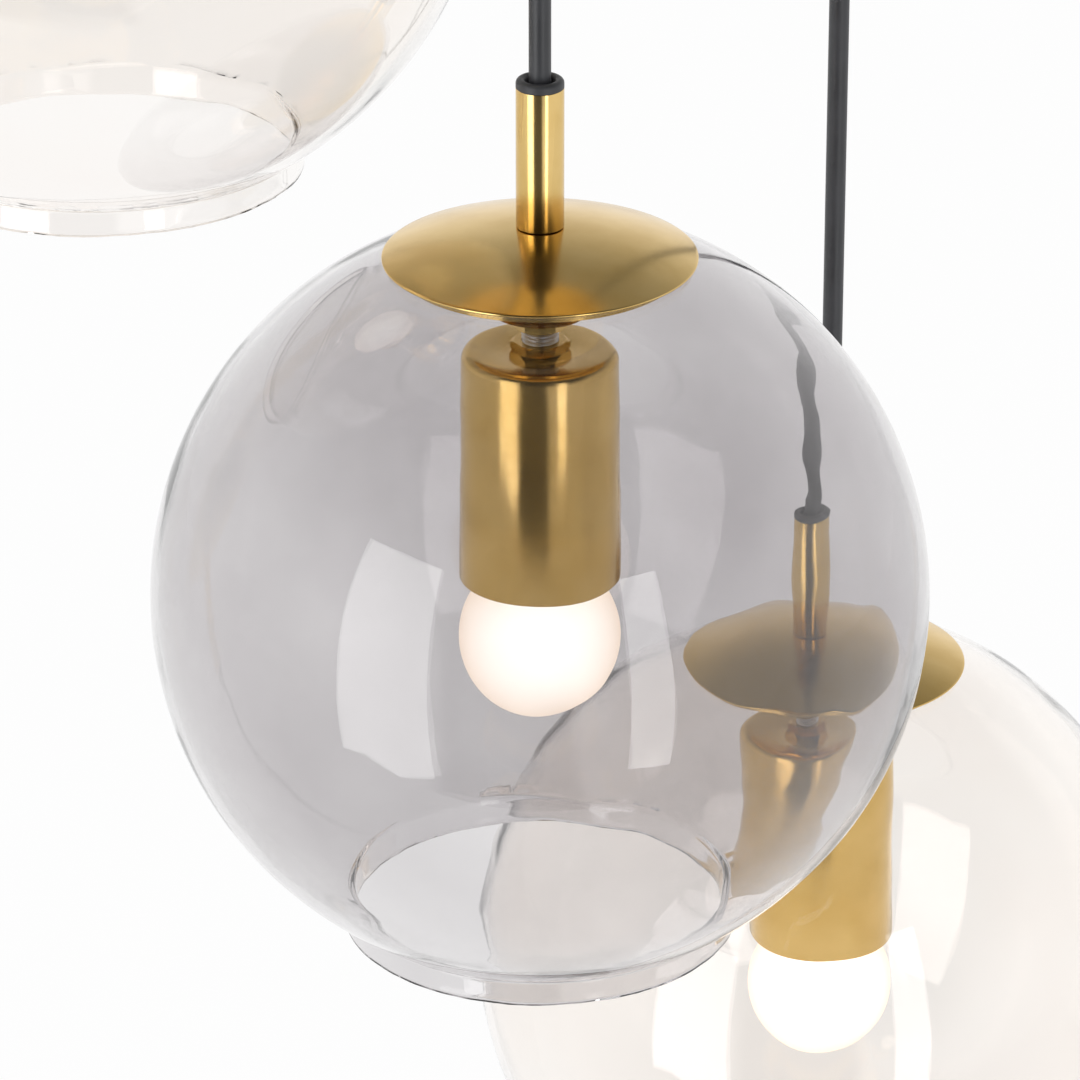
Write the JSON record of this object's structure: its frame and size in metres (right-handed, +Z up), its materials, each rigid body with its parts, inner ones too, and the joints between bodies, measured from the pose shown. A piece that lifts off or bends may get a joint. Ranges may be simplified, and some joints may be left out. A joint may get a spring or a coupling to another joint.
{
  "type": "cluster pendant",
  "caption": "Ceiling light with open blown-glass globes and brass fittings that hang at stepped heights on black cords from a round canopy.",
  "frame": {"origin": "centre of the ceiling bracket's top face, which lies against the ceiling", "axes": "+Z up into the ceiling, +X along the bracket, -Y towards the side of the smoke grey lamp"},
  "size_m": [0.4213, 0.3861, 0.848],
  "materials": {
    "smoke_glass": "glossy, smoke grey tint",
    "amber_glass": "glossy, faint amber tint",
    "satin_brass": "satin, brushed round",
    "contact_brass": "plain",
    "zinc_plated_steel": "zinc plated",
    "black_pvc": "satin",
    "black_rubber": "satin",
    "black_nylon": "satin",
    "white_nylon": "satin",
    "clear_gasket": "satin",
    "white_ceramic": "unglazed",
    "bulb_cap_metal": "plain",
    "frosted_bulb": "frosted, alight",
    "lead_insulation": "satin"
  },
  "bodies": {
    "ceiling_fitting": {"canopy": "satin_brass", "ceiling_bracket": "zinc_plated_steel", "canopy_screws": "satin_brass", "earth_screw": "contact_brass", "cord_grips": "black_nylon", "grip_nuts": "black_nylon", "terminal_block": "white_nylon", "terminal_screws": "zinc_plated_steel", "inner_leads": "lead_insulation"},
    "hanging_cord_1": {"cord_1": "black_pvc"},
    "lamp_1": {"globe_1": "smoke_glass", "dome_1": "satin_brass", "outer_gasket_1": "clear_gasket", "inner_gasket_1": "clear_gasket", "clamp_dish_1": "satin_brass", "clamp_washer_1": "satin_brass", "hex_nuts_1": "satin_brass", "nipple_1": "zinc_plated_steel", "stem_1": "satin_brass", "cord_collar_1": "black_rubber", "lamp_cup_1": "satin_brass", "holder_1": "white_ceramic", "screw_shell_1": "contact_brass", "centre_contact_1": "contact_brass"},
    "bulb_base_1": {"bulb_cap_1": "bulb_cap_metal"},
    "bulb_1": {"bulb_glass_1": "frosted_bulb"},
    "hanging_cord_2": {"cord_2": "black_pvc"},
    "lamp_2": {"globe_2": "amber_glass", "dome_2": "satin_brass", "outer_gasket_2": "clear_gasket", "inner_gasket_2": "clear_gasket", "clamp_dish_2": "satin_brass", "clamp_washer_2": "satin_brass", "hex_nuts_2": "satin_brass", "nipple_2": "zinc_plated_steel", "stem_2": "satin_brass", "cord_collar_2": "black_rubber", "lamp_cup_2": "satin_brass", "holder_2": "white_ceramic", "screw_shell_2": "contact_brass", "centre_contact_2": "contact_brass"},
    "bulb_base_2": {"bulb_cap_2": "bulb_cap_metal"},
    "bulb_2": {"bulb_glass_2": "frosted_bulb"},
    "hanging_cord_3": {"cord_3": "black_pvc"},
    "lamp_3": {"globe_3": "amber_glass", "dome_3": "satin_brass", "outer_gasket_3": "clear_gasket", "inner_gasket_3": "clear_gasket", "clamp_dish_3": "satin_brass", "clamp_washer_3": "satin_brass", "hex_nuts_3": "satin_brass", "nipple_3": "zinc_plated_steel", "stem_3": "satin_brass", "cord_collar_3": "black_rubber", "lamp_cup_3": "satin_brass", "holder_3": "white_ceramic", "screw_shell_3": "contact_brass", "centre_contact_3": "contact_brass"},
    "bulb_base_3": {"bulb_cap_3": "bulb_cap_metal"},
    "bulb_3": {"bulb_glass_3": "frosted_bulb"}
  },
  "joints": [
    {"name": "cord_swing_1", "type": "hinge", "parent": "ceiling_fitting", "child": "hanging_cord_1", "pos_m": [0.02218, -0.11966, -0.0343], "axis": [-0.9833, -0.1822, 0], "range_deg": [-1.5, 20]},
    {"name": "lamp_tilt_1", "type": "hinge", "parent": "hanging_cord_1", "child": "lamp_1", "pos_m": [0.02218, -0.11966, -0.3982], "axis": [0.1822, -0.9833, 0], "range_deg": [-3, 3]},
    {"name": "bulb_travel_1", "type": "slide", "parent": "lamp_1", "child": "bulb_base_1", "axis": [0, 0, -1], "range_m": [0, 0.0145]},
    {"name": "bulb_turn_1", "type": "hinge", "parent": "bulb_base_1", "child": "bulb_1", "pos_m": [0.02218, -0.11966, -0.55892], "axis": [0, 0, -1], "range_deg": [0, 1440]},
    {"name": "cord_swing_2", "type": "hinge", "parent": "ceiling_fitting", "child": "hanging_cord_2", "pos_m": [0.10984, 0.05239, -0.0343], "axis": [0.4305, -0.9026, 0], "range_deg": [-1.5, 20]},
    {"name": "lamp_tilt_2", "type": "hinge", "parent": "hanging_cord_2", "child": "lamp_2", "pos_m": [0.10984, 0.05239, -0.6007], "axis": [0.9026, 0.4305, 0], "range_deg": [-3, 3]},
    {"name": "bulb_travel_2", "type": "slide", "parent": "lamp_2", "child": "bulb_base_2", "axis": [0, 0, -1], "range_m": [0, 0.0145]},
    {"name": "bulb_turn_2", "type": "hinge", "parent": "bulb_base_2", "child": "bulb_2", "pos_m": [0.10984, 0.05239, -0.76142], "axis": [0, 0, -1], "range_deg": [0, 1440]},
    {"name": "cord_swing_3", "type": "hinge", "parent": "ceiling_fitting", "child": "hanging_cord_3", "pos_m": [-0.09758, -0.07273, -0.0343], "axis": [-0.5976, 0.8018, 0], "range_deg": [-1.5, 20]},
    {"name": "lamp_tilt_3", "type": "hinge", "parent": "hanging_cord_3", "child": "lamp_3", "pos_m": [-0.09758, -0.07273, -0.1908], "axis": [-0.8018, -0.5976, 0], "range_deg": [-3, 3]},
    {"name": "bulb_travel_3", "type": "slide", "parent": "lamp_3", "child": "bulb_base_3", "axis": [0, 0, -1], "range_m": [0, 0.0145]},
    {"name": "bulb_turn_3", "type": "hinge", "parent": "bulb_base_3", "child": "bulb_3", "pos_m": [-0.09758, -0.07273, -0.35152], "axis": [0, 0, -1], "range_deg": [0, 1440]}
  ],
  "couplings": [
    {"joint": "bulb_travel_1", "follows": "bulb_turn_1", "m_per_rad": 0.00057614},
    {"joint": "bulb_travel_2", "follows": "bulb_turn_2", "m_per_rad": 0.00057614},
    {"joint": "bulb_travel_3", "follows": "bulb_turn_3", "m_per_rad": 0.00057614}
  ]
}
